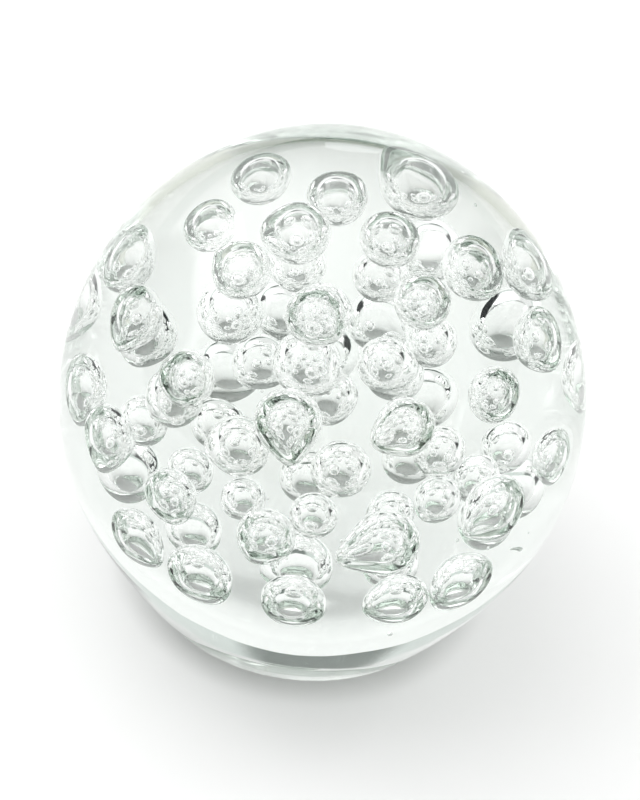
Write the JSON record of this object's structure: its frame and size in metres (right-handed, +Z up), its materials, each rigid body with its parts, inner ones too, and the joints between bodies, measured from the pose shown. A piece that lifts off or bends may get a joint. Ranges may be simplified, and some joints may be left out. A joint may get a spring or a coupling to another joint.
{
  "type": "paperweight",
  "caption": "Clear glass ball paperweight with rings of controlled air bubbles in layers, on a flat ground base",
  "frame": {"origin": "centre of the flat ground base", "axes": "+Z up along the ball's axis, -Y towards a viewer, +X to that viewer's right"},
  "size_m": [0.08, 0.08, 0.0796],
  "materials": {
    "clear_glass": "polished"
  },
  "bodies": {
    "root": {"casing_gather": "clear_glass", "third_gather": "clear_glass", "second_gather": "clear_glass", "core_gather": "clear_glass"}
  },
  "joints": []
}
